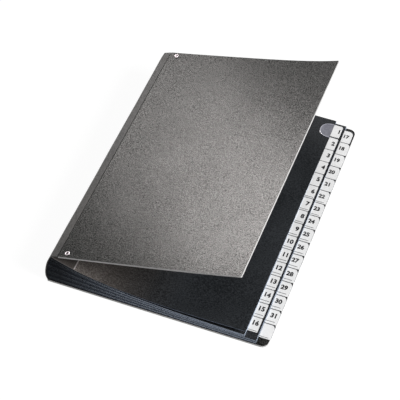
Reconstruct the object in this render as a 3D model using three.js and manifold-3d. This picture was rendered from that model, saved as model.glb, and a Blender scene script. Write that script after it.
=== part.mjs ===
import * as THREE from 'three';
import { mergeVertices } from 'three/addons/utils/BufferGeometryUtils.js';
import Module from 'manifold-3d';

// Desk sorting file with numbered divider leaves, lying on its back cover with the front cover
// raised. Millimetres. X runs from the spine to the fore-edge, Y along the spine, Z up.
// The origin is at the centre of the back cover's underside.

// Covers, in pressboard
const coverHeight = 340;
const backCoverWidth = 255;
const boardThickness = 2;
const backCornerRadius = 8;
const frontCornerRadius = 1.5;
const openAngleDegrees = 16;
const coverLap = 2;

// Cloth back, with its hinge tongue and the flap glued to the first leaf
const clothThickness = 0.9;
const clothInset = 0.5;
const spineFoot = 0.3;
const spineRise = 46.5;
const spineLean = 6.8;
const spineBulge = 4.5;
const spineShoulder = 27.9;
const spineBelly = 7.7;
const tongueLength = 8.9;
const tongueAngleDegrees = 22;
const flapWidth = 27;

// Divider leaves, in two groups whose tabs stand in two columns. The leaves lie looser at the
// front, where the first leaf springs away from the others.
const leafInset = 1;
const leavesPerGroup = 16;
const leafThickness = 0.23;
const outerSpread = 2.4;
const innerSpread = 0.3;
const firstLeafThickness = 0.8;
const firstLeafGapRear = 0.3;
const firstLeafGapFront = 6;
const firstLeafGapDepth = 100;
const leafBendWidth = 45;
const leafBendHeight = 26;
const leafFlatStart = 95;
const leafSagRear = 0.3;
const leafSagFront = 5;

// Index tabs and their labels
const tabWidth = 11.3;
const columnGap = 1.9;
const tabEdgeMargin = 1.5;
const tabMarginRear = 7;
const tabMarginFront = 9.4;
const tabThickness = 0.3;
const tabSlot = 0.6;
const tabRoot = 1;
const labelInset = 0.2;
const labelThickness = 0.25;
const filmReach = 15;
const filmThickness = 0.25;

// Eyelets through the front cover's hinge margin
const eyeletFlangeRadius = 3;
const eyeletHoleRadius = 1.3;
const eyeletShankRadius = 1.9;
const eyeletFlangeThickness = 0.5;
const eyeletSetback = 9.5;
const eyeletInset = 6;
const hingeClothWidth = 20;
const hingeClothThickness = 0.6;

// Gaps
const seatGap = 0.3;
const hingeGap = 0.45;
const boardHingeGap = 0.2;
const axisDrop = 0.2;

// Smoothness of the curved outlines
const spineSteps = 10;
const leafSteps = 24;
const flapSteps = 60;
const roundSegments = 24;
const cornerSegments = 8;
const filmSegments = 16;

// Places that follow from the sizes above
const spineX = -backCoverWidth / 2;
const foreEdgeX = backCoverWidth / 2;
const outerLeafX = foreEdgeX - tabEdgeMargin - tabWidth;
const innerLeafX = outerLeafX - columnGap - tabWidth;
const leafHalf = coverHeight / 2 - leafInset;
const clothHalf = coverHeight / 2 - clothInset;
const seatZ = boardThickness + seatGap;
const tabPitch = (2 * leafHalf - tabMarginRear - tabMarginFront) / leavesPerGroup;
const outerTopRear = seatZ + leavesPerGroup * leafThickness;
const outerTopFront = outerTopRear + outerSpread;
const innerTopRear = outerTopRear + (leavesPerGroup - 1) * leafThickness;
const innerTopFront = outerTopFront + (leavesPerGroup - 1) * leafThickness + innerSpread;
const firstTopRear = innerTopRear + firstLeafGapRear + firstLeafThickness;
const firstTopFront = innerTopFront + firstLeafGapFront + firstLeafThickness;
const openAngle = THREE.MathUtils.degToRad(openAngleDegrees);
const tongueAngle = THREE.MathUtils.degToRad(tongueAngleDegrees);
const hingeX = spineX + spineLean + tongueLength * Math.cos(tongueAngle);
const hingeZ = spineRise + tongueLength * Math.sin(tongueAngle);
const frontCoverWidth = innerLeafX + coverLap - hingeX;

// Materials
const board = { color: 0x5a5b5a, roughness: 0.55, metalness: 0 };
const cloth = { color: 0x2b2a26, roughness: 0.85, metalness: 0 };
const card = { color: 0x24242a, roughness: 0.7, metalness: 0 };
const paper = { color: 0xe6e6ea, roughness: 0.6, metalness: 0 };
const film = { color: 0x74748a, roughness: 0.25, metalness: 0 };
const nickel = { color: 0xd2d0d4, roughness: 0.3, metalness: 1 };

const wasm = await Module();
wasm.setup();

function toSolid(geometry) {
  const bare = geometry.clone();
  bare.deleteAttribute('normal');
  bare.deleteAttribute('uv');
  const merged = mergeVertices(bare);
  const vertProperties = new Float32Array(merged.attributes.position.array);
  const triVerts = new Uint32Array(merged.index.array);
  return new wasm.Manifold(new wasm.Mesh({ numProp: 3, vertProperties, triVerts }));
}

function toGeometry(solid) {
  const mesh = solid.getMesh();
  const geometry = new THREE.BufferGeometry();
  geometry.setAttribute('position', new THREE.BufferAttribute(mesh.vertProperties, 3));
  geometry.setIndex(new THREE.BufferAttribute(mesh.triVerts, 1));
  geometry.computeVertexNormals();
  return geometry;
}

// A closed solid between an outline at the rear and one with as many points at the front.
// Outlines are [x, z] pairs that run anticlockwise as seen from the front.
function loft(rearOutline, frontOutline, rearY, frontY) {
  const count = rearOutline.length;
  const positions = [];
  for (const [x, z] of rearOutline) {
    positions.push(x, rearY, z);
  }
  for (const [x, z] of frontOutline) {
    positions.push(x, frontY, z);
  }
  const caps = [rearOutline, frontOutline].map((outline) => {
    const contour = outline.map(([x, z]) => new THREE.Vector2(x, z));
    return THREE.ShapeUtils.triangulateShape(contour, []);
  });
  const indices = [];
  for (const [a, b, c] of caps[0]) {
    indices.push(a, c, b);
  }
  for (const [a, b, c] of caps[1]) {
    indices.push(count + a, count + b, count + c);
  }
  for (let i = 0; i < count; i += 1) {
    const next = (i + 1) % count;
    indices.push(count + i, next, count + next);
    indices.push(count + i, i, next);
  }
  const geometry = new THREE.BufferGeometry();
  geometry.setAttribute('position', new THREE.Float32BufferAttribute(positions, 3));
  geometry.setIndex(indices);
  geometry.computeVertexNormals();
  return geometry;
}

function prism(outline, rearY, frontY) {
  return loft(outline, outline, rearY, frontY);
}

function box(lowX, highX, lowY, highY, lowZ, highZ) {
  const geometry = new THREE.BoxGeometry(highX - lowX, highY - lowY, highZ - lowZ);
  geometry.translate((lowX + highX) / 2, (lowY + highY) / 2, (lowZ + highZ) / 2);
  return geometry;
}

function piece(name, geometry, finish) {
  const mesh = new THREE.Mesh(geometry, new THREE.MeshStandardMaterial(finish));
  mesh.name = name;
  return mesh;
}

// A flat board from x = left to x = left + width, with its two fore-edge corners rounded
function boardGeometry(left, width, height, thickness, radius) {
  const right = left + width;
  const half = height / 2;
  const shape = new THREE.Shape();
  shape.moveTo(left, -half);
  shape.lineTo(right - radius, -half);
  shape.absarc(right - radius, -half + radius, radius, -Math.PI / 2, 0);
  shape.lineTo(right, half - radius);
  shape.absarc(right - radius, half - radius, radius, 0, Math.PI / 2);
  shape.lineTo(left, half);
  return new THREE.ExtrudeGeometry(shape, {
    depth: thickness, bevelEnabled: false, curveSegments: cornerSegments,
  });
}

// The cloth back's outer line, from its foot to its top corner, moved towards the leaves by inset
function spineLine(inset, steps, reach) {
  const curve = new THREE.CubicBezierCurve(
    new THREE.Vector2(spineX + spineFoot, seatZ),
    new THREE.Vector2(spineX - spineBulge, seatZ + spineBelly),
    new THREE.Vector2(spineX - spineBulge / 2, seatZ + spineShoulder),
    new THREE.Vector2(spineX + spineLean, spineRise),
  );
  const points = [];
  for (let i = 0; i <= steps; i += 1) {
    const point = curve.getPoint(reach * i / steps);
    points.push([point.x + inset, point.y]);
  }
  return points;
}

// The leaves reach this far up the cloth back, as a share of its curve
const leafReach = 0.96;

function lerp(rear, front, y) {
  return rear + (front - rear) * (leafHalf - y) / (2 * leafHalf);
}

// The first leaf's upper line at one end: down from the spine, then flat towards the fore-edge
function topCurve(topZ, sag) {
  const start = spineLine(clothThickness + seatGap, 1, leafReach)[1];
  return new THREE.CubicBezierCurve(
    new THREE.Vector2(start[0], start[1]),
    new THREE.Vector2(spineX + leafBendWidth, leafBendHeight),
    new THREE.Vector2(spineX + leafFlatStart, topZ - sag),
    new THREE.Vector2(innerLeafX, topZ),
  );
}

// One end of the block of leaves. A narrow wedge parts the first leaf from the others: it opens
// from its root to the fore-edge, and the first leaf keeps its thickness along it.
function blockOutline(outerTop, innerTop, firstTop, sag) {
  const back = spineLine(clothThickness + seatGap, spineSteps, leafReach).reverse();
  const top = topCurve(firstTop, sag).getPoints(leafSteps);
  const free = top.filter((point) => point.x > innerLeafX - firstLeafGapDepth);
  const root = free[0];
  const opening = firstTop - firstLeafThickness - innerTop;
  const outline = [[outerLeafX, seatZ], [outerLeafX, outerTop], [innerLeafX, outerTop]];
  for (const point of [...free].reverse()) {
    const share = (point.x - root.x) / (innerLeafX - root.x);
    outline.push([point.x, point.y - firstLeafThickness - opening * share]);
  }
  for (const point of free.slice(1)) {
    outline.push([point.x, point.y - firstLeafThickness]);
  }
  for (const point of top.reverse()) {
    outline.push([point.x, point.y]);
  }
  outline.push(...back.slice(1));
  return outline;
}

function slotCentre(index) {
  return leafHalf - tabMarginRear - tabPitch * (index + 0.5);
}

// Heights of the tabs' upper faces, counted down from the top leaf of each group
function innerLevel(index) {
  const y = slotCentre(index);
  if (index === 0) {
    return lerp(firstTopRear, firstTopFront, y);
  }
  const top = lerp(innerTopRear, innerTopFront, y);
  const foot = lerp(outerTopRear, outerTopFront, y) + tabThickness;
  return top - (top - foot) * (index - 1) / (leavesPerGroup - 2);
}

function outerLevel(index) {
  const top = lerp(outerTopRear, outerTopFront, slotCentre(index));
  const foot = seatZ + tabThickness;
  return top - (top - foot) * index / (leavesPerGroup - 1);
}

const columns = [
  { x: innerLeafX, level: innerLevel },
  { x: outerLeafX, level: outerLevel },
];

function dividerBlock() {
  const rear = blockOutline(outerTopRear, innerTopRear, firstTopRear, leafSagRear);
  const front = blockOutline(outerTopFront, innerTopFront, firstTopFront, leafSagFront);
  let solid = toSolid(loft(rear, front, leafHalf, -leafHalf));
  const halfLength = (tabPitch - tabSlot) / 2;
  for (const column of columns) {
    for (let i = 0; i < leavesPerGroup; i += 1) {
      const y = slotCentre(i);
      const level = column.level(i);
      const tab = box(column.x - tabRoot, column.x + tabWidth, y - halfLength, y + halfLength,
        level - tabThickness, level);
      solid = solid.add(toSolid(tab));
    }
  }
  return toGeometry(solid);
}

// The back, the tongue that carries the front cover, and the flap on the first leaf are one strip
function spineCloth() {
  const outer = spineLine(0, spineSteps, 1);
  const inner = spineLine(clothThickness, spineSteps, leafReach);
  const along = [Math.cos(tongueAngle), Math.sin(tongueAngle)];
  const across = [along[1] * clothThickness, -along[0] * clothThickness];
  const corner = outer[spineSteps];
  const reach = tongueLength - hingeGap;
  const tip = [corner[0] + along[0] * reach, corner[1] + along[1] * reach];
  const leafTop = topCurve(firstTopFront, leafSagFront).getPoints(flapSteps)
    .filter((point) => point.x < spineX + spineLean + flapWidth);
  const under = leafTop.map((point) => [point.x, point.y + seatGap]);
  const over = under.map(([x, z]) => [x, z + clothThickness]);
  const crotch = [corner[0] + across[0], corner[1] + across[1]];
  const overOutside = over.filter(([x]) => x > crotch[0]);
  const outline = [...inner, ...under, ...overOutside.reverse(), crotch];
  outline.push([tip[0] + across[0], tip[1] + across[1]], tip, ...outer.reverse());
  return prism(outline, clothHalf, -clothHalf);
}

function eyelet() {
  const top = seatGap - axisDrop;
  const foot = -axisDrop - boardThickness - 2 * seatGap - hingeClothThickness;
  const profile = [
    [eyeletHoleRadius, foot - eyeletFlangeThickness],
    [eyeletFlangeRadius, foot - eyeletFlangeThickness],
    [eyeletFlangeRadius, foot],
    [eyeletShankRadius, foot],
    [eyeletShankRadius, top],
    [eyeletFlangeRadius, top],
    [eyeletFlangeRadius, top + eyeletFlangeThickness],
    [eyeletHoleRadius, top + eyeletFlangeThickness],
    [eyeletHoleRadius, foot - eyeletFlangeThickness],
  ].map(([radius, height]) => new THREE.Vector2(radius, height));
  const geometry = new THREE.LatheGeometry(profile, roundSegments);
  geometry.rotateX(Math.PI / 2);
  return geometry;
}

const eyeletPlaces = [
  ['eyelet_rear', coverHeight / 2 - eyeletInset],
  ['eyelet_front', eyeletInset - coverHeight / 2],
];

// Cuts the eyelets' clearance holes through a flat strip of the front cover
function drilled(geometry) {
  const radius = eyeletShankRadius + seatGap;
  const length = 2 * (boardThickness + hingeClothThickness + 2 * seatGap);
  let solid = toSolid(geometry);
  for (const [, y] of eyeletPlaces) {
    const drill = new THREE.CylinderGeometry(radius, radius, length, roundSegments);
    drill.rotateX(Math.PI / 2);
    drill.translate(eyeletSetback, y, 0);
    solid = solid.subtract(toSolid(drill));
  }
  return toGeometry(solid);
}

// The front cover's parts, in its own frame: X along the board from the hinge line, Z up from it
function frontCover() {
  const group = new THREE.Group();
  const boardTop = -axisDrop;
  const plate = boardGeometry(boardHingeGap, frontCoverWidth - boardHingeGap, coverHeight,
    boardThickness, frontCornerRadius);
  plate.translate(0, 0, boardTop - boardThickness);
  group.add(piece('front_cover', drilled(plate), board));
  const stripTop = boardTop - boardThickness - seatGap;
  const strip = box(boardHingeGap, hingeClothWidth, -clothHalf, clothHalf,
    stripTop - hingeClothThickness, stripTop);
  group.add(piece('cover_hinge_cloth', drilled(strip), cloth));
  for (const [name, y] of eyeletPlaces) {
    const rivet = piece(name, eyelet(), nickel);
    rivet.position.set(eyeletSetback, y, 0);
    group.add(rivet);
  }
  group.position.set(hingeX, 0, hingeZ);
  group.rotation.y = -openAngle;
  return group;
}

function labelName(number) {
  return `label_${String(number).padStart(2, '0')}`;
}

// Labels 1 to 16 lie on the inner column, 17 to 31 and a blank one on the outer column
function labels() {
  const group = new THREE.Group();
  const halfLength = (tabPitch - tabSlot) / 2 - labelInset;
  const last = columns.length * leavesPerGroup;
  columns.forEach((column, columnIndex) => {
    for (let i = 0; i < leavesPerGroup; i += 1) {
      const number = columnIndex * leavesPerGroup + i + 1;
      const y = slotCentre(i);
      const level = column.level(i);
      const plate = box(column.x + labelInset, column.x + tabWidth - labelInset,
        y - halfLength, y + halfLength, level, level + labelThickness);
      group.add(piece(number === last ? 'label_blank' : labelName(number), plate, paper));
    }
  });
  return group;
}

// Half-round end of the clear film that strengthens the first tab, on the first leaf
function tabFilm() {
  const halfLength = (tabPitch - tabSlot) / 2;
  const shape = new THREE.Shape();
  shape.moveTo(0, -halfLength);
  shape.absellipse(0, 0, filmReach, halfLength, -Math.PI / 2, -1.5 * Math.PI, true);
  const geometry = new THREE.ExtrudeGeometry(shape, {
    depth: filmThickness, bevelEnabled: false, curveSegments: filmSegments,
  });
  const y = slotCentre(0);
  const level = lerp(firstTopRear, firstTopFront, y - halfLength);
  geometry.translate(innerLeafX, y, level + seatGap);
  return geometry;
}

const signatureBook = new THREE.Group();
const backPlate = boardGeometry(spineX, backCoverWidth, coverHeight, boardThickness, backCornerRadius);
signatureBook.add(piece('back_cover', backPlate, board));
signatureBook.add(piece('divider_block', dividerBlock(), card));
signatureBook.add(piece('spine_cloth', spineCloth(), cloth));
signatureBook.add(piece('tab_film', tabFilm(), film));
signatureBook.add(labels());
signatureBook.add(frontCover());

export default signatureBook;
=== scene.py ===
"""Looks of the desk sorting file: curled pressboard covers, a rounded cloth back, thirty-two card
leaves with stepped index tabs, numbered labels and nickel eyelets. Places are in millimetres."""
import math

import bmesh
import bpy
from mathutils import Matrix, Quaternion, Vector


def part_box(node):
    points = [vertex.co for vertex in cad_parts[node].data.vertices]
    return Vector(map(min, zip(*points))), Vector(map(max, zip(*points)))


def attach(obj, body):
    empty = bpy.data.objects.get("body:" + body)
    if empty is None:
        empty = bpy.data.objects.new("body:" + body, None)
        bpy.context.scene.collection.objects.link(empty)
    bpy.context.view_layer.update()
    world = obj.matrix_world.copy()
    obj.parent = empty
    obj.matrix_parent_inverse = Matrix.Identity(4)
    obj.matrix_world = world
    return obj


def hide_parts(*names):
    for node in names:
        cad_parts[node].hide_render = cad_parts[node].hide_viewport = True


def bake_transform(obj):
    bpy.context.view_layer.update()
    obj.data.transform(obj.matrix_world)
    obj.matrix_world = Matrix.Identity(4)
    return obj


MM = 0.001

# Camera, as recovered from the photograph
CAMERA_PLACE = (0.347253, -1.025220, 1.268620)
CAMERA_RIGHT = (0.93749345, 0.34763573, 0.01598185)
CAMERA_DOWN = (0.27383262, -0.70856508, -0.65034700)
CAMERA_FORWARD = (-0.21475968, 0.61407241, -0.75946913)
CAMERA_LENS = 129.84
CAMERA_SENSOR = 36.0

# Lamps that only make gloss
GLOSS_TARGET = (0.07, -0.1, 0.1)
GLOSS_COLOUR = (1.0, 0.955, 0.945)

# Covers
HALF_HEIGHT = 170.0
SPINE_X = -127.5
FORE_EDGE_X = 127.5
BOARD = 2.0
BACK_RADIUS = 8.0
FRONT_RADIUS = 1.5
HINGE = (-112.448, 49.834)
OPEN_ANGLE = math.radians(16)
FRONT_WIDTH = 215.948
BOARD_START = 0.2
BOARD_TOP = -0.2
EYELETS = (("rear", 9.5, 164.0), ("front", 9.5, -164.0))
HOLE_RADIUS = 2.1
HOLE_FOOT, HOLE_TOP = -6.0, 3.0
CURL_REAR = 5.6
CURL_FRONT = 0.5
CORNER_REAR = -0.8
CORNER_FRONT = 2.4

# Cloth back
CLOTH = 0.9
SEAT_Z = 2.3
SPINE_LINE = ((-127.2, 2.3), (-132.0, 10.0), (-129.75, 30.2), (-120.7, 46.5))
TONGUE_ANGLE = math.radians(22)
TONGUE_REACH = 8.45
CLOTH_HALF = 169.5
FLAP_END_X = -93.7
LEAF_REACH = 0.96
FLAP = 0.85
HINGE_STRIP = 0.5
FOOT_STRIP = 0.35
FOLD = 0.16
FOLD_REACH = 5.0

# Leaves and tabs
LEAF_HALF = 169.0
GROUP = 16
LEAVES = 32
INNER_X = 101.5
OUTER_X = 114.7
BEND_X, BEND_Z = -82.5, 26.0
FLAT_X = -32.5
OUTER_TOP = (5.98, 8.38)
INNER_TOP = (9.43, 12.13)
FIRST_TOP = (10.53, 18.93)
SAG = (0.3, 5.0)
TAB = 0.3
TAB_WIDTH = 11.3
TAB_PITCH = 20.1
TAB_START = 162.0
TAB_HALF = 9.75
LEAF = 0.2
FIRST_LEAF = 0.5
# Half width of the grey lines on the labels: film seams and painted shade
SEAM_AND_SHADE_HALF = 0.42
DIGIT_HEIGHT = 6.0
DIGIT_RIGHT = 4.0
DIGIT_WEIGHT = 0.065

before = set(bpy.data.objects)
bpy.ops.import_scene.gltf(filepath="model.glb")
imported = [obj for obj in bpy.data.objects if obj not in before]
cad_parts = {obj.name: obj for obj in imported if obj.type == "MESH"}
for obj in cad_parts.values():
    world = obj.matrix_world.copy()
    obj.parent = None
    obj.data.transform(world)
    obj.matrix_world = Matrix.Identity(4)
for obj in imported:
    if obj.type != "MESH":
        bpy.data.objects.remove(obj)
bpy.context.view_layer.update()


# Camera, light and floor
def make_camera():
    data = bpy.data.cameras.new("camera")
    data.lens = CAMERA_LENS
    data.sensor_width = CAMERA_SENSOR
    data.clip_start, data.clip_end = 0.05, 30
    camera = bpy.data.objects.new("camera", data)
    right, down, forward = map(Vector, (CAMERA_RIGHT, CAMERA_DOWN, CAMERA_FORWARD))
    turn = Matrix((right, -down, -forward)).transposed().to_4x4()
    camera.matrix_world = Matrix.Translation(CAMERA_PLACE) @ turn
    bpy.context.scene.collection.objects.link(camera)
    bpy.context.scene.camera = camera


def make_lamp(name, place, target, size, power, roll=0.0, gloss_only=False):
    data = bpy.data.lights.new(name, "AREA")
    data.shape = "RECTANGLE"
    data.size, data.size_y = size
    data.energy = power
    lamp = bpy.data.objects.new(name, data)
    lamp.location = place
    lamp.rotation_mode = "QUATERNION"
    aim = (Vector(target) - Vector(place)).to_track_quat("-Z", "Y")
    lamp.rotation_quaternion = aim @ Quaternion((0, 0, 1), math.radians(roll))
    lamp.visible_diffuse = not gloss_only
    if gloss_only:
        data.color = GLOSS_COLOUR
    bpy.context.scene.collection.objects.link(lamp)


def seen_directly(tree):
    """1 for rays that show the background as it is: from the camera, off gloss and through glass."""
    path = tree.nodes.new("ShaderNodeLightPath")
    total = path.outputs["Is Camera Ray"]
    for other in ("Is Glossy Ray", "Is Transmission Ray"):
        most = tree.nodes.new("ShaderNodeMath")
        most.operation = "MAXIMUM"
        tree.links.new(total, most.inputs[0])
        tree.links.new(path.outputs[other], most.inputs[1])
        total = most.outputs[0]
    return total


def make_world(ambient):
    world = bpy.data.worlds.new("studio")
    bpy.context.scene.world = world
    world.use_nodes = True
    tree = world.node_tree
    tree.nodes.clear()
    dim = tree.nodes.new("ShaderNodeBackground")
    dim.inputs["Color"].default_value = (1, 1, 1, 1)
    dim.inputs["Strength"].default_value = ambient
    white = tree.nodes.new("ShaderNodeBackground")
    white.inputs["Color"].default_value = (1, 1, 1, 1)
    white.inputs["Strength"].default_value = 1.0
    mix = tree.nodes.new("ShaderNodeMixShader")
    out = tree.nodes.new("ShaderNodeOutputWorld")
    tree.links.new(seen_directly(tree), mix.inputs[0])
    tree.links.new(dim.outputs[0], mix.inputs[1])
    tree.links.new(white.outputs[0], mix.inputs[2])
    tree.links.new(mix.outputs[0], out.inputs["Surface"])


def make_floor(reach):
    mesh = bpy.data.meshes.new("floor")
    corners = [(-reach, -reach, 0), (reach, -reach, 0), (reach, reach, 0), (-reach, reach, 0)]
    mesh.from_pydata(corners, [], [(0, 1, 2, 3)])
    floor = bpy.data.objects.new("floor", mesh)
    floor.location.z = -0.3 * MM
    bpy.context.scene.collection.objects.link(floor)
    material = bpy.data.materials.new("floor")
    material.use_nodes = True
    tree = material.node_tree
    tree.nodes.clear()
    plain = tree.nodes.new("ShaderNodeBsdfDiffuse")
    plain.inputs["Color"].default_value = (0.34, 0.34, 0.35, 1)
    pale = tree.nodes.new("ShaderNodeBsdfDiffuse")
    pale.inputs["Color"].default_value = (0.12, 0.12, 0.12, 1)
    glow = tree.nodes.new("ShaderNodeEmission")
    glow.inputs["Strength"].default_value = 0.94
    add = tree.nodes.new("ShaderNodeAddShader")
    mix = tree.nodes.new("ShaderNodeMixShader")
    out = tree.nodes.new("ShaderNodeOutputMaterial")
    tree.links.new(pale.outputs[0], add.inputs[0])
    tree.links.new(glow.outputs[0], add.inputs[1])
    tree.links.new(seen_directly(tree), mix.inputs[0])
    tree.links.new(plain.outputs[0], mix.inputs[1])
    tree.links.new(add.outputs[0], mix.inputs[2])
    tree.links.new(mix.outputs[0], out.inputs["Surface"])
    mesh.materials.append(material)


# Materials
class Finish:
    """A node material around one Principled shader, with its textures in object coordinates."""

    def __init__(self, name, **settings):
        self.material = bpy.data.materials.new(name)
        self.material.use_nodes = True
        self.tree = self.material.node_tree
        self.shader = self.tree.nodes["Principled BSDF"]
        for socket, value in settings.items():
            self.shader.inputs[socket.replace("_", " ")].default_value = value
        self.coordinates = self.tree.nodes.new("ShaderNodeTexCoord").outputs["Object"]

    def new(self, kind, **settings):
        node = self.tree.nodes.new(kind)
        for name, value in settings.items():
            setattr(node, name, value)
        return node

    def link(self, start, end):
        self.tree.links.new(start, end)

    def noise(self, scale, detail=2.0, roughness=0.5, stretch=None):
        node = self.new("ShaderNodeTexNoise")
        node.inputs["Scale"].default_value = scale
        node.inputs["Detail"].default_value = detail
        node.inputs["Roughness"].default_value = roughness
        source = self.coordinates
        if stretch:
            place = self.new("ShaderNodeMapping")
            place.inputs["Scale"].default_value = stretch
            self.link(source, place.inputs["Vector"])
            source = place.outputs[0]
        self.link(source, node.inputs["Vector"])
        return node.outputs["Fac"]

    def threads(self, period, direction, turn=0.0):
        place = self.new("ShaderNodeMapping")
        place.inputs["Rotation"].default_value = (0, turn, 0)
        self.link(self.coordinates, place.inputs["Vector"])
        node = self.new("ShaderNodeTexWave", bands_direction=direction)
        node.inputs["Scale"].default_value = 0.314 / period
        node.inputs["Distortion"].default_value = 0.6
        node.inputs["Detail"].default_value = 1.0
        self.link(place.outputs[0], node.inputs["Vector"])
        return node.outputs["Fac"]

    def ramp(self, source, stops):
        node = self.new("ShaderNodeValToRGB")
        elements = node.color_ramp.elements
        while len(elements) < len(stops):
            elements.new(0.5)
        for element, (place, colour) in zip(elements, stops):
            element.position = place
            element.color = (*colour, 1)
        self.link(source, node.inputs["Fac"])
        return node.outputs["Color"]

    def combine(self, how, a, b, factor=1.0):
        node = self.new("ShaderNodeMix", data_type="RGBA", blend_type=how)
        node.inputs["Factor"].default_value = factor
        self.link(a, node.inputs["A"])
        self.link(b, node.inputs["B"])
        return node.outputs["Result"]

    def spread(self, source, low, high, start=0.0, end=1.0):
        node = self.new("ShaderNodeMapRange")
        node.inputs["From Min"].default_value = start
        node.inputs["From Max"].default_value = end
        node.inputs["To Min"].default_value = low
        node.inputs["To Max"].default_value = high
        self.link(source, node.inputs["Value"])
        return node.outputs["Result"]

    def sum(self, a, b, share):
        scaled = self.new("ShaderNodeMath", operation="MULTIPLY_ADD")
        scaled.inputs[1].default_value = share
        self.link(b, scaled.inputs[0])
        self.link(a, scaled.inputs[2])
        return scaled.outputs[0]

    def bump(self, source, strength, distance):
        node = self.new("ShaderNodeBump")
        node.inputs["Strength"].default_value = strength
        node.inputs["Distance"].default_value = distance
        self.link(source, node.inputs["Height"])
        self.link(node.outputs[0], self.shader.inputs["Normal"])

    def colour(self, source):
        self.link(source, self.shader.inputs["Base Color"])

    def rough(self, source):
        self.link(source, self.shader.inputs["Roughness"])


def pressboard(name, dark, mid, light):
    """Glazed fibreboard: a fine mottled grain of short fibres, with faint clouding."""
    finish = Finish(name)
    fine = finish.noise(1250, 2.0, 0.6)
    fibres = finish.noise(760, 2.0, 0.6, stretch=(1, 1.3, 1))
    clouds = finish.noise(9, 2.0, 0.5)
    grain = finish.sum(finish.sum(fine, fibres, 0.55), clouds, 0.12)
    base = finish.ramp(grain, [(0.72, dark), (0.83, mid), (0.95, light)])
    finish.colour(base)
    finish.link(finish.spread(grain, 0.02, 0.385, 0.68, 0.98),
                finish.shader.inputs["Specular IOR Level"])
    flecks = finish.ramp(finish.noise(1000, 2.0, 0.6), [(0.36, (1.0, 0.91, 0.92)),
                                                        (0.64, (0.91, 1.0, 0.95))])
    finish.link(flecks, finish.shader.inputs["Specular Tint"])
    finish.rough(finish.spread(fibres, 0.235, 0.315, 0.3, 0.7))
    finish.bump(finish.sum(fine, fibres, 0.8), 0.17, 0.00015)
    return finish.material


def book_cloth(name, dark, light):
    """Coated book cloth with a fine square weave."""
    finish = Finish(name, Sheen_Weight=0.08)
    mottle = finish.spread(finish.noise(900, 2.0, 0.6), 0.14, 0.56, 0.34, 0.66)
    finish.link(mottle, finish.shader.inputs["Specular IOR Level"])
    warp = finish.threads(0.0009, "Y")
    weft = finish.threads(0.0009, "X", math.radians(45))
    weave = finish.sum(warp, weft, 1.0)
    worn = finish.noise(28, 3.0, 0.6)
    base = finish.ramp(finish.sum(worn, weave, 0.12), [(0.40, dark), (0.85, light)])
    finish.colour(base)
    finish.rough(finish.spread(worn, 0.38, 0.52, 0.3, 0.7))
    finish.bump(weave, 0.3, 0.0001)
    return finish.material


def leaf_card(name, dark, light, painted_light_tones=None):
    """Dull dark card with a faint fibre. The first leaf gets painted light, paler towards the spine.
    """
    finish = Finish(name, Specular_IOR_Level=0.12)
    fibres = finish.noise(620, 3.0, 0.6, stretch=(1, 1.4, 1))
    clouds = finish.noise(14, 2.0, 0.5)
    base = finish.ramp(finish.sum(fibres, clouds, 0.35), [(0.55, dark), (0.82, light)])
    if painted_light_tones:
        # Painted light: paler towards the spine, standing in for light that reaches the first leaf
        # under the raised cover.
        apart = finish.new("ShaderNodeSeparateXYZ")
        finish.link(finish.coordinates, apart.inputs[0])
        place = finish.spread(apart.outputs["X"], 0.0, 1.0, -0.115, 0.035)
        steps = ((0.0, 1.0), (0.3, 0.62), (0.55, 0.2), (0.72, 0.04), (0.9, 0.0))
        share = finish.ramp(place, [(step, (level, level, level)) for step, level in steps])
        pale = finish.ramp(finish.sum(fibres, clouds, 0.35), [(0.55, painted_light_tones[0]), (0.82, painted_light_tones[1])])
        both = finish.new("ShaderNodeMix", data_type="RGBA")
        finish.link(share, both.inputs["Factor"])
        finish.link(base, both.inputs["A"])
        finish.link(pale, both.inputs["B"])
        base = both.outputs["Result"]
    finish.colour(base)
    finish.rough(finish.spread(fibres, 0.55, 0.72, 0.3, 0.7))
    finish.bump(fibres, 0.2, 0.0002)
    return finish.material


def cut_edge(name, low, high, scale=900, shade=None):
    """The pale core that shows where board or card is cut. Between shade's two places, in metres
    from the centre towards the fore-edge, it gets painted shade, darker towards the spine."""
    finish = Finish(name, Specular_IOR_Level=0.2, Roughness=0.8)
    fibres = finish.noise(scale, 2.0, 0.6)
    base = finish.ramp(fibres, [(0.3, low), (0.7, high)])
    if shade:
        # Painted shade: the edges darken towards the spine, where the leaves crowd into the cloth
        # back.
        apart = finish.new("ShaderNodeSeparateXYZ")
        finish.link(finish.coordinates, apart.inputs[0])
        place = finish.spread(apart.outputs["X"], 0.0, 1.0, *shade)
        tones = finish.ramp(place, [(0.0, (0.12, 0.12, 0.12)), (0.35, (0.4, 0.4, 0.4)),
                                    (1.0, (1, 1, 1))])
        base = finish.combine("MULTIPLY", base, tones)
    finish.colour(base)
    finish.bump(fibres, 0.2, 0.0001)
    return finish.material


def label_paper(name, low, high):
    """White label under clear film, a little grubby in faint blotches."""
    finish = Finish(name, Roughness=0.5, Coat_Weight=0.5, Coat_Roughness=0.22)
    finish.colour(finish.ramp(finish.noise(70, 3.0, 0.6), [(0.3, low), (0.7, high)]))
    finish.bump(finish.noise(300, 2.0, 0.5), 0.08, 0.0002)
    return finish.material


def ink(name, colour):
    finish = Finish(name, Roughness=0.5, Specular_IOR_Level=0.1)
    tones = [(0.3, colour), (0.7, tuple(1.6 * c for c in colour))]
    finish.colour(finish.ramp(finish.noise(900, 2.0, 0.5), tones))
    return finish.material


def film(name, low, high):
    finish = Finish(name, Coat_Weight=0.6, Coat_Roughness=0.08)
    clouds = finish.noise(160, 3.0, 0.6)
    finish.colour(finish.ramp(clouds, [(0.3, low), (0.75, high)]))
    finish.rough(finish.spread(clouds, 0.18, 0.34, 0.3, 0.7))
    finish.bump(clouds, 0.3, 0.0003)
    return finish.material


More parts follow.
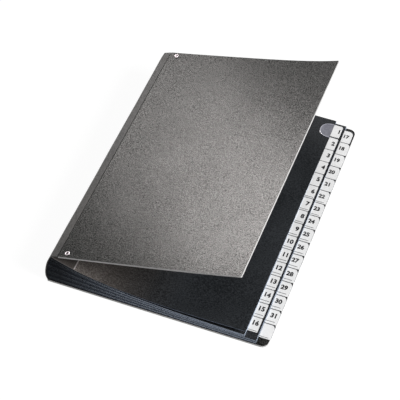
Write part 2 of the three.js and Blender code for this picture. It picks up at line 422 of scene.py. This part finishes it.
def nickel(name, low, high):
    finish = Finish(name, Metallic=1.0)
    haze = finish.noise(700, 2.0, 0.5)
    finish.colour(finish.ramp(haze, [(0.3, low), (0.7, high)]))
    finish.rough(finish.spread(haze, 0.2, 0.36, 0.3, 0.7))
    return finish.material


# Mesh building
class Shell:
    """Points in millimetres and faces with a material number each, gathered into one mesh."""

    def __init__(self):
        self.points = []
        self.faces = []
        self.finishes = []

    def face(self, corners, finish):
        self.faces.append(corners)
        self.finishes.append(finish)

    def build(self, name, materials, sharp_degrees=35):
        mesh = bpy.data.meshes.new(name)
        mesh.from_pydata([[c * MM for c in p] for p in self.points], [], self.faces)
        for material in materials:
            mesh.materials.append(material)
        mesh.polygons.foreach_set("material_index", self.finishes)
        work = bmesh.new()
        work.from_mesh(mesh)
        bmesh.ops.recalc_face_normals(work, faces=work.faces)
        work.to_mesh(mesh)
        work.free()
        mesh.polygons.foreach_set("use_smooth", [True] * len(mesh.polygons))
        mesh.set_sharp_from_angle(angle=math.radians(sharp_degrees))
        mesh.update()
        piece = bpy.data.objects.new(name, mesh)
        bpy.context.scene.collection.objects.link(piece)
        return piece


def layer(shell, upper, lower, face=0, edge=0, ends=None):
    """A closed sheet between two grids of points, rows by columns."""
    ends = edge if ends is None else ends
    rows, columns = len(upper), len(upper[0])
    base = len(shell.points)
    for grid in (upper, lower):
        for row in grid:
            shell.points.extend(row)

    def at(side, row, column):
        return base + (side * rows + row) * columns + column

    for r in range(rows - 1):
        for c in range(columns - 1):
            shell.face([at(0, r, c), at(0, r, c + 1), at(0, r + 1, c + 1), at(0, r + 1, c)], face)
            shell.face([at(1, r, c), at(1, r + 1, c), at(1, r + 1, c + 1), at(1, r, c + 1)],
                       face)
    for r in range(rows - 1):
        for c in (0, columns - 1):
            shell.face([at(0, r, c), at(0, r + 1, c), at(1, r + 1, c), at(1, r, c)], edge)
    for c in range(columns - 1):
        for r in (0, rows - 1):
            shell.face([at(0, r, c), at(0, r, c + 1), at(1, r, c + 1), at(1, r, c)], ends)


def inset(outline, distance):
    """The outline moved inwards. It runs anticlockwise."""
    moved = []
    count = len(outline)
    for i, (x, y) in enumerate(outline):
        before = Vector(outline[i - 1])
        after = Vector(outline[(i + 1) % count])
        along_a = (Vector((x, y)) - before).normalized()
        along_b = (after - Vector((x, y))).normalized()
        across = Vector((-(along_a.y + along_b.y), along_a.x + along_b.x)).normalized()
        lean = max(0.5, across.dot(Vector((-along_a.y, along_a.x))))
        moved.append((x + across.x * distance / lean, y + across.y * distance / lean))
    return moved


def plate(shell, outline, low, high, edge, face=0, side=0):
    """A flat plate with softened upper edges."""
    base = len(shell.points)
    count = len(outline)
    rings = [(outline, low), (outline, high - edge), (inset(outline, edge), high)]
    for ring, z in rings:
        shell.points.extend((x, y, z) for x, y in ring)
    for level in range(2):
        for i in range(count):
            j = (i + 1) % count
            a, b = base + level * count, base + (level + 1) * count
            shell.face([a + i, a + j, b + j, b + i], side if level == 0 else face)
    shell.face([base + i for i in reversed(range(count))], face)
    shell.face([base + 2 * count + i for i in range(count)], face)


def tab_outline(left, right, front, rear, front_radius, rear_radius, steps=6):
    """A tab seen from above, with its two outer corners rounded, anticlockwise."""
    points = [(left, rear), (left, front)]
    for centre_y, radius, start in ((front + front_radius, front_radius, -90),
                                    (rear - rear_radius, rear_radius, 0)):
        for i in range(steps + 1):
            angle = math.radians(start + 90 * i / steps)
            points.append((right - radius + radius * math.cos(angle),
                           centre_y + radius * math.sin(angle)))
    return points


def bezier(points, t):
    a, b, c, d = points
    u = 1 - t
    weights = (u ** 3, 3 * u * u * t, 3 * u * t * t, t ** 3)
    return tuple(sum(w * p[i] for w, p in zip(weights, (a, b, c, d))) for i in range(2))


def mix(a, b, t):
    return a + (b - a) * t


def smooth(t):
    t = min(1.0, max(0.0, t))
    return t * t * (3 - 2 * t)


def frontness(y):
    """0 at the leaves' rear ends, 1 at their front ends."""
    return (LEAF_HALF - y) / (2 * LEAF_HALF)


def bevel(piece, width, segments=2, degrees=40):
    modifier = piece.modifiers.new("edges", "BEVEL")
    modifier.material = 1
    modifier.width = width * MM
    modifier.segments = segments
    modifier.limit_method = "ANGLE"
    modifier.angle_limit = math.radians(degrees)
    modifier.harden_normals = False


# Covers
def rounded(x, y, left, right, half, radius):
    """Draws the points of a corner square in to the corner's circle at the fore-edge."""
    dx = x - (right - radius)
    dy = abs(y) - (half - radius)
    if dx <= 0 or dy <= 0:
        return x, y
    sx, sy = dx / radius, dy / radius
    cx, cy = sx * math.sqrt(1 - sy * sy / 2), sy * math.sqrt(1 - sx * sx / 2)
    return right - radius + cx * radius, math.copysign(half - radius + cy * radius, y)


def stations(start, end, steps, fine_end, fine_steps, both=False):
    """Places along a board, closer together where its corners are rounded."""
    low = start + fine_end if both else start
    places = [mix(low, end - fine_end, i / steps) for i in range(steps + 1)]
    places += [end - fine_end + fine_end * i / fine_steps for i in range(1, fine_steps + 1)]
    if both:
        places = [start + fine_end * i / fine_steps for i in range(fine_steps)] + places
    return places


def board_sheet(name, materials, left, right, radius, columns, corner, height, place):
    """A board with rounded fore-edge corners; height gives its upper face, place its position."""
    xs = stations(left, right, columns, radius, corner)
    ys = stations(-HALF_HEIGHT, HALF_HEIGHT, 60, radius, corner, both=True)
    upper, lower = [], []
    for y in ys:
        flat = [rounded(x, y, left, right, HALF_HEIGHT, radius) for x in xs]
        upper.append([place(px, py, height(px, py)) for px, py in flat])
        lower.append([place(px, py, height(px, py) - BOARD) for px, py in flat])
    shell = Shell()
    layer(shell, upper, lower, 0, 1)
    return shell.build(name, materials)


def on_cover(s, y, n):
    """A point in the front cover's own frame: s along it from the hinge, n above the hinge line."""
    c, v = math.cos(OPEN_ANGLE), math.sin(OPEN_ANGLE)
    return (HINGE[0] + s * c - n * v, y, HINGE[1] + s * v + n * c)


def cover_sag(s, y):
    """The raised cover droops a little between its hinge and its curled rear corner."""
    share = min(1.0, max(0.0, s / FRONT_WIDTH))
    rearness = (y + HALF_HEIGHT) / (2 * HALF_HEIGHT)
    depth = mix(CURL_FRONT, CURL_REAR, rearness ** 1.6)
    lift = mix(CORNER_FRONT, CORNER_REAR, rearness) * share ** 3
    return depth * share ** 0.8 * (1 - share ** 5) - lift


def drill(piece):
    """Cuts the eyelets' holes through a sheet of the front cover."""
    sides = 24
    for _, s, y in EYELETS:
        shell = Shell()
        angles = [2 * math.pi * i / sides for i in range(sides)]
        ring = [(HOLE_RADIUS * math.cos(a), HOLE_RADIUS * math.sin(a)) for a in angles]
        low = [on_cover(s + a, y + b, HOLE_FOOT) for a, b in ring]
        high = [on_cover(s + a, y + b, HOLE_TOP) for a, b in ring]
        shell.points.extend(low + high)
        for i in range(sides):
            j = (i + 1) % sides
            shell.face([i, j, sides + j, sides + i], 0)
        shell.face(list(reversed(range(sides))), 0)
        shell.face([sides + i for i in range(sides)], 0)
        cutter = shell.build("cutter", [])
        hole = piece.modifiers.new("hole", "BOOLEAN")
        hole.operation = "DIFFERENCE"
        hole.solver = "EXACT"
        hole.object = cutter
        bpy.context.view_layer.update()
        whole = piece.evaluated_get(bpy.context.evaluated_depsgraph_get())
        done = bpy.data.meshes.new_from_object(whole)
        piece.modifiers.clear()
        piece.data = done
        bpy.data.objects.remove(cutter)


def front_cover(board, edge):
    piece = board_sheet("front_cover_board", [board, edge], BOARD_START, FRONT_WIDTH,
                        FRONT_RADIUS, 60, 4, lambda s, y: BOARD_TOP - cover_sag(s, y), on_cover)
    drill(piece)
    bevel(piece, 0.65, 3)
    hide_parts("front_cover")
    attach(piece, "front")


def back_cover(board, edge):
    piece = board_sheet("back_cover_board", [board, edge], SPINE_X, FORE_EDGE_X,
                        BACK_RADIUS, 44, 5, lambda x, y: BOARD, lambda x, y, z: (x, y, z))
    bevel(piece, 0.28)
    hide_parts("back_cover")
    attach(piece, "back")


def eyelet(name, s, y, metal):
    """A rolled flange above and below the cover, joined by a tube."""
    flange, hole = 3.0, 1.3
    top, foot = 0.1 - cover_sag(s, y), -3.4 - cover_sag(s, y)
    profile = []
    for i in range(13):
        angle = math.radians(180 * i / 12)
        middle, half = (flange + hole) / 2, (flange - hole) / 2
        profile.append((middle + half * math.cos(angle), top + 0.55 * math.sin(angle)))
    for i in range(13):
        angle = math.radians(180 + 180 * i / 12)
        middle, half = (flange + hole) / 2 - 0.1, (flange - hole) / 2 - 0.1
        profile.append((middle + half * math.cos(angle), foot + 0.5 * math.sin(angle)))
    profile.append((1.9, foot))
    profile.append((1.9, top))
    count, turns = len(profile), 48
    shell = Shell()
    for k in range(turns):
        angle = 2 * math.pi * k / turns
        for radius, n in profile:
            shell.points.append(on_cover(s + radius * math.cos(angle),
                                         y + radius * math.sin(angle), n))
    for k in range(turns):
        following = (k + 1) % turns
        for i in range(count):
            j = (i + 1) % count
            shell.face([k * count + i, k * count + j, following * count + j,
                        following * count + i], 0)
    piece = shell.build("eyelet_ring_" + name, [metal], 60)
    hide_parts("eyelet_" + name)
    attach(piece, "front")


# Cloth
def spine_point(share):
    return bezier(SPINE_LINE, share)


def offset_line(line, distance):
    """A line of (x, z) points moved to its right-hand side."""
    moved = []
    for i, (x, z) in enumerate(line):
        before, after = line[max(0, i - 1)], line[min(len(line) - 1, i + 1)]
        along = Vector((after[0] - before[0], after[1] - before[1])).normalized()
        moved.append((x + along.y * distance, z - along.x * distance))
    return moved


def line_length(line):
    return sum(math.dist(a, b) for a, b in zip(line, line[1:]))


def cloth_strip(name, line_at, thickness, half, rows, materials):
    """A strip of cloth whose outer line at y is line_at(y), and its length across the strip."""
    upper, lower = [], []
    for i in range(rows + 1):
        y = mix(half, -half, i / rows)
        line = line_at(y)
        upper.append([(x, y, z) for x, z in line])
        lower.append([(x, y, z) for x, z in offset_line(line, thickness)])
    shell = Shell()
    layer(shell, upper, lower, 0, len(materials) - 1, 0)
    piece = shell.build(name, materials, 50)
    return piece, line_length(line_at(0.0))


def ripple(y, z):
    """The cloth's own slight unevenness."""
    return 0.18 * math.sin(y / 23.0 + z / 9.0) + 0.1 * math.sin(y / 9.0 - z / 5.0)


def spine_outer(y):
    line = []
    for i in range(25):
        x, z = spine_point(i / 24)
        soft = math.sin(math.pi * i / 24)
        line.append((x + soft * ripple(y, z), z))
    corner = line[-1]
    along = (math.cos(TONGUE_ANGLE), math.sin(TONGUE_ANGLE))
    for reach in (0.5, 1.2, 3.0, 5.0, 7.0, TONGUE_REACH):
        line.append((corner[0] + along[0] * reach, corner[1] + along[1] * reach))
    return line


def first_top(y, t):
    """The first leaf's upper line at y."""
    f = frontness(y)
    start = offset_line([spine_point(LEAF_REACH * i / 24) for i in range(25)], CLOTH + 0.3)[-1]
    top = mix(FIRST_TOP[0], FIRST_TOP[1], f)
    sag = mix(SAG[0], SAG[1], f)
    return bezier((start, (BEND_X, BEND_Z), (FLAT_X, top - sag), (INNER_X, top)), t)


def flap_upper(y):
    line = [(-119.9, 46.0)]
    for i in range(1, 80):
        x, z = first_top(y, i / 160)
        if x > FLAP_END_X:
            break
        if x > -119.4:
            line.append((x, z + 1.0))
    count = 24
    return [line[round(i * (len(line) - 1) / count)] for i in range(count + 1)]


def hinge_line(y):
    """The strip that joins the cloth back to the front cover, along its underside."""
    line = []
    for reach, drop in ((-6.0, 1.0), (-4.0, 1.02), (-2.0, 1.05), (-0.9, 1.15)):
        x = HINGE[0] + reach * math.cos(TONGUE_ANGLE) + drop * math.sin(TONGUE_ANGLE)
        z = HINGE[1] + reach * math.sin(TONGUE_ANGLE) - drop * math.cos(TONGUE_ANGLE)
        line.append((x, z))
    for s, n in ((0.2, -1.75), (0.9, -2.2), (2.0, -2.28), (5.0, -2.3), (9.0, -2.32),
                 (13.0, -2.34), (17.0, -2.36), (20.0, -2.4)):
        x, _, z = on_cover(s, y, n - cover_sag(s, y))
        line.append((x, z))
    return line


def foot_line(y):
    """The strip that joins the cloth back to the back cover's spine edge."""
    line = [(-127.62, 0.2), (-127.64, 0.8), (-127.66, 1.4), (-127.7, 2.0)]
    for i in range(1, 8):
        x, z = spine_point(0.035 * i)
        soft = math.sin(math.pi * 0.035 * i)
        line.append((x - 0.2 + soft * ripple(y, z), z))
    return line


def cloth_back(cloth, flap_cloth_painted_light, frayed):
    spine, width = cloth_strip("spine_cloth_back", spine_outer, CLOTH, CLOTH_HALF, 48, [cloth])
    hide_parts("spine_cloth")
    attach(spine, "leaves")
    # The flap's cloth is a paler copy of the book cloth: painted light in the shade under the raised
    # cover.
    flap, width = cloth_strip("spine_cloth_flap", flap_upper, FLAP, CLOTH_HALF - 0.5, 24,
                             [flap_cloth_painted_light, frayed])
    for polygon in flap.data.polygons:
        if polygon.center.x > (FLAP_END_X - 1.3) * MM and polygon.normal.z > 0.3:
            polygon.material_index = 1
    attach(flap, "leaves")
    hinge, width = cloth_strip("cover_hinge_strip", hinge_line, HINGE_STRIP, CLOTH_HALF, 24, [cloth])
    drill(hinge)
    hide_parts("cover_hinge_cloth")
    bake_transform(hinge)
    foot, width = cloth_strip("spine_foot_strip", foot_line, FOOT_STRIP, CLOTH_HALF, 24, [cloth])
    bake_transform(foot)


def spine_folds(cloth):
    """The folds of the cloth between the leaves, seen at the ends near the spine."""
    inner = offset_line([spine_point(LEAF_REACH * i / 64) for i in range(65)], CLOTH + 0.05)
    line = []
    for i in range(1, 64):
        x, z = inner[i]
        reach = 0.3 if i % 2 else FOLD_REACH
        lean = (inner[-1][1] - z) / inner[-1][1]
        line.append((x + reach, z - (0.0 if i % 2 else (1 - lean) * 2.0)))
    piece, width = cloth_strip("spine_folds", lambda y: line, FOLD, LEAF_HALF - 0.8, 12, [cloth])
    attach(piece, "leaves")


# Leaves, tabs and labels
def slot_y(index):
    return TAB_START - TAB_PITCH * (index + 0.5)


def leaf_level(leaf, y):
    """The height of a leaf's upper face at the fore-edge. Leaf 1 is the top one."""
    f = frontness(y)
    if leaf == 1:
        return mix(FIRST_TOP[0], FIRST_TOP[1], f)
    outer_top = mix(OUTER_TOP[0], OUTER_TOP[1], f)
    if leaf <= GROUP:
        top, foot = mix(INNER_TOP[0], INNER_TOP[1], f), outer_top + TAB
        return mix(top, foot, (leaf - 2) / (GROUP - 2))
    return mix(outer_top, SEAT_Z + TAB, (leaf - GROUP - 1) / (GROUP - 1))


def leaf_height(leaf):
    """Where a leaf meets the cloth back, as a share of its height. The leaves cling in fours."""
    count = LEAVES - leaf
    bunch = count // 4
    return (4 * bunch + 2.5 + 0.8 * (count % 4 - 1.5) + (0.33 if leaf == 1 else 0.0)) / LEAVES


def leaf_line(leaf, y):
    """The upper line of a leaf at y: from its place in the cloth back to the fore-edge."""
    f = frontness(y)
    height = leaf_height(leaf)
    share = LEAF_REACH * height
    near = [spine_point(max(0.0, share - 0.01)), spine_point(share)]
    start = offset_line(near, CLOTH + 0.3)[-1]
    end = leaf_level(leaf, y)
    first = mix(FIRST_TOP[0], FIRST_TOP[1], f)
    sag = mix(SAG[0], SAG[1], f)
    if leaf == 1:
        bend, flat = BEND_Z, first - sag
    else:
        below = leaf_level(2, y)
        stack = (end - SEAT_Z) / (below - SEAT_Z)
        bend = SEAT_Z + mix(stack, height, 0.55) * (BEND_Z - 0.8 - SEAT_Z)
        flat = SEAT_Z + stack * (first - sag - 0.9 - SEAT_Z)
    line = [bezier((start, (BEND_X, bend), (FLAT_X, flat), (INNER_X, end)), i / 30)
            for i in range(31)]
    if leaf > GROUP:
        line.append((OUTER_X, end))
    return line


def tab_sides(leaf):
    """Where a leaf's tab runs: left, right, front, rear."""
    index = (leaf - 1) % GROUP
    y = slot_y(index)
    if leaf <= GROUP:
        return INNER_X, INNER_X + TAB_WIDTH, y - TAB_HALF, y + TAB_HALF
    reach = 0.4 if index == 0 else 1.9
    return OUTER_X, OUTER_X + TAB_WIDTH + reach, y - TAB_HALF, y + TAB_HALF


def leaf_piece(leaf, card, edges):
    """One leaf with its tab. Three leaves in every eight show a paler edge, painted light for the
    bright streaks of bunched edges.
    """
    shell = Shell()
    thick = FIRST_LEAF if leaf == 1 else LEAF
    upper, lower = [], []
    for i in range(13):
        y = mix(LEAF_HALF, -LEAF_HALF, i / 12)
        line = leaf_line(leaf, y)
        upper.append([(x, y, z) for x, z in line])
        row = []
        for j, (x, z) in enumerate(line):
            loose = 0.0 if leaf == 1 else 0.12 * (1 - smooth(j / 18))
            row.append((x, y, z - thick - loose))
        lower.append(row)
    layer(shell, upper, lower, 0, 0 if leaf == 1 else 1, 1)
    left, right, front, rear = tab_sides(leaf)
    level = leaf_level(leaf, slot_y((leaf - 1) % GROUP))
    back = 1.3 if (leaf - 1) % GROUP == 0 else 0.0
    outline = tab_outline(left - 1.2, right, front, rear + back, 2.2, 1.4)
    plate(shell, outline, level - TAB, level + 0.01, 0.04, 0, 1)
    dull, pale = edges
    # The paler edge on three leaves in eight is painted light.
    piece = shell.build(f"leaf_{leaf:02d}", [card, pale if leaf % 8 in (3, 4, 5) else dull], 30)
    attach(piece, "leaves")
    return piece


def digits(text):
    """The outline of a number in bold grotesque figures, one unit high, as points and faces."""
    curve = bpy.data.curves.new("figures", "FONT")
    curve.body = text
    curve.size = 1.38
    curve.offset = DIGIT_WEIGHT
    curve.extrude = 0.008
    curve.resolution_u = 4
    curve.space_character = 1.0
    holder = bpy.data.objects.new("figures", curve)
    bpy.context.scene.collection.objects.link(holder)
    bpy.context.view_layer.update()
    solid = holder.evaluated_get(bpy.context.evaluated_depsgraph_get())
    mesh = bpy.data.meshes.new_from_object(solid)
    points = [tuple(v.co) for v in mesh.vertices]
    faces = [list(p.vertices) for p in mesh.polygons]
    bpy.data.objects.remove(holder)
    bpy.data.curves.remove(curve)
    bpy.data.meshes.remove(mesh)
    return points, faces


def label_piece(node, number, paper, black, seam_and_shade):
    """A label on its tab, with its number and grey lines: the one near its front edge is the film's
    seam, the one along its rear edge painted shade under the tab above.
    """
    left, right, front, rear = tab_sides(number)
    index = (number - 1) % GROUP
    low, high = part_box(node)
    foot, top = low.z / MM, high.z / MM
    shell = Shell()
    margin = 0.05
    rear += 0.12 if index > 0 else -0.2
    front -= 0.12
    outline = tab_outline(left + margin, right - 0.25, front, rear, 1.2,
                          2.2 if number <= GROUP else 5.2)
    plate(shell, outline, foot + 0.005, top, 0.07, 0, 0)
    # The line along the rear edge is painted shade under the tab above; the line near the front edge
    # is the film's seam.
    lines = [rear - 0.3] if index > 0 else []
    if index == GROUP - 1:
        lines.append(front + 1.5)
    elif index > 4:
        lines.append(front + 1.6 + 1.6 * smooth((index - 4) / 8))
    for place in lines:
        end = right - (1.2 if number <= GROUP else 3.0)
        strip = [(left + 0.1, place - SEAM_AND_SHADE_HALF), (end, place - SEAM_AND_SHADE_HALF),
                 (end, place + SEAM_AND_SHADE_HALF), (left + 0.1, place + SEAM_AND_SHADE_HALF)]
        plate(shell, strip, top - 0.05, top + 0.03, 0.02, 2, 2)
    if node != "label_blank":
        points, faces = digits(str(number))
        widest = max(p[0] for p in points)
        column = 0.0 if number <= GROUP else mix(-1.1, 0.3, index / 15)
        tall = DIGIT_HEIGHT * (1.0 if number <= GROUP else mix(0.89, 1.0, index / 15))
        width = 0.96 * tall
        middle = left + TAB_WIDTH / 2 - 0.35 + column
        centre = slot_y(index) + mix(0.4, 2.0, index / 15)
        base = len(shell.points)
        for x, y, z in points:
            shell.points.append((middle + DIGIT_RIGHT + (x - widest) * width,
                                 centre + (y - 0.5) * tall, top + 0.01 + z * 2))
        for face in faces:
            shell.face([base + i for i in face], 1)
    piece = shell.build("index_" + node, [paper, black, seam_and_shade], 30)
    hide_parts(node)
    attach(piece, "leaves")


def film_piece(clear, rim):
    """The half-round end of the film on the first leaf, with its pressed rim."""
    low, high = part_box("tab_film")
    right, foot = high.x / MM, low.z / MM
    reach, half = 14.4, 11.6
    centre = (low.y + high.y) / 2 / MM - 1.6
    rings = []
    for shrink, lift in ((0.0, 0.0), (0.0, 0.16), (0.35, 0.3), (0.9, 0.3), (1.25, 0.2)):
        ring = []
        for i in range(33):
            angle = math.radians(90 + 180 * i / 32)
            across, along = math.cos(angle), math.sin(angle)
            ring.append((right + (reach - shrink) * math.copysign(abs(across) ** 0.8, across),
                         centre + (half - shrink) * math.copysign(abs(along) ** 0.8, along)))
        rings.append((ring, lift))
    shell = Shell()
    count = 33
    for ring, lift in rings:
        for x, y in ring:
            tilt = leaf_level(1, y) - leaf_level(1, centre)
            shell.points.append((x, y, foot - 0.22 + tilt + lift))
    for level in range(len(rings) - 1):
        for i in range(count):
            j = (i + 1) % count
            shell.face([level * count + i, level * count + j, (level + 1) * count + j,
                        (level + 1) * count + i], 1 if level in (1, 2) else 0)
    shell.face(list(reversed(range(count))), 0)
    shell.face([(len(rings) - 1) * count + i for i in range(count)], 0)
    piece = shell.build("tab_film_end", [clear, rim], 40)
    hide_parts("tab_film")
    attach(piece, "leaves")


# The scene
make_camera()
make_world(0.28)
make_lamp("key", (1.8, -0.25, 1.35), (0, 0, 0.03), (1.0, 1.0), 60)
make_lamp("sheen", (-0.32, 0.345, 0.6), GLOSS_TARGET, (0.688, 0.288), 4.9, roll=94.8,
          gloss_only=True)
make_lamp("glint", (-0.57, 0.69, 0.87), GLOSS_TARGET, (0.25, 0.25), 6.0, gloss_only=True)
make_floor(4.0)
scene = bpy.context.scene
scene.view_settings.view_transform = "Standard"

board = pressboard("pressboard", (0.001, 0.002, 0.001), (0.0045, 0.0047, 0.0042),
                   (0.0347, 0.0347, 0.0321))
board_edge = cut_edge("board_edge", (0.46, 0.45, 0.45), (0.68, 0.67, 0.66))
cloth = book_cloth("book_cloth", (0.010, 0.009, 0.008), (0.045, 0.041, 0.037))
frayed = cut_edge("cloth_edge", (0.50, 0.45, 0.45), (0.72, 0.67, 0.67))
# Painted light: a paler copy of the book cloth for the flap, which lies in shade under the cover.
flap_cloth_painted_light = book_cloth("flap_cloth_painted_light", (0.060, 0.053, 0.048), (0.150, 0.132, 0.122))
# Painted light: the folds are a paler, bluer copy of the book cloth, lifting the shade in the
# hollows between the leaves.
folded = book_cloth("folded_cloth", (0.018, 0.022, 0.026), (0.060, 0.072, 0.084))
card = leaf_card("leaf_card", (0.004, 0.005, 0.006), (0.036, 0.038, 0.042))
# The first leaf's last pair of tones is painted light near the spine.
first_card = leaf_card("first_leaf_card", (0.003, 0.004, 0.005), (0.030, 0.033, 0.037),
                       ((0.13, 0.113, 0.103), (0.36, 0.32, 0.295)))
# Pale and dull copies of the leaf edge: the pale one is painted light, the bright streaks of bunched
# edges.
card_edge = cut_edge("leaf_edge", (0.60, 0.69, 0.84), (0.80, 0.89, 1.0), 1500, (-0.112, -0.04))
dull_edge = cut_edge("leaf_edge_dull", (0.16, 0.20, 0.27), (0.29, 0.34, 0.44), 1500,
                     (-0.112, -0.04))
paper = label_paper("label_paper", (0.79, 0.79, 0.79), (0.87, 0.87, 0.87))
black = ink("label_ink", (0.003, 0.003, 0.004))
# Grey for the film's seams and for the painted shade along each label's rear edge.
seam_and_shade = ink("label_seam_and_shade", (0.13, 0.13, 0.135))
clear = film("tab_film", (0.10, 0.10, 0.13), (0.18, 0.18, 0.22))
rim = film("tab_film_rim", (0.35, 0.35, 0.42), (0.55, 0.55, 0.62))
metal = nickel("nickel", (0.24, 0.21, 0.22), (0.40, 0.37, 0.38))

for leaf_number in range(1, LEAVES + 1):
    leaf_finish = first_card if leaf_number == 1 else card
    leaf_piece(leaf_number, leaf_finish, (dull_edge, card_edge))
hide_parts("divider_block")
for label_number in range(1, LEAVES):
    label_piece(f"label_{label_number:02d}", label_number, paper, black, seam_and_shade)
label_piece("label_blank", LEAVES, paper, black, seam_and_shade)
film_piece(clear, rim)
cloth_back(cloth, flap_cloth_painted_light, frayed)
spine_folds(folded)
back_cover(board, board_edge)
front_cover(board, board_edge)
for eyelet_name, eyelet_s, eyelet_y in EYELETS:
    eyelet(eyelet_name, eyelet_s, eyelet_y, metal)
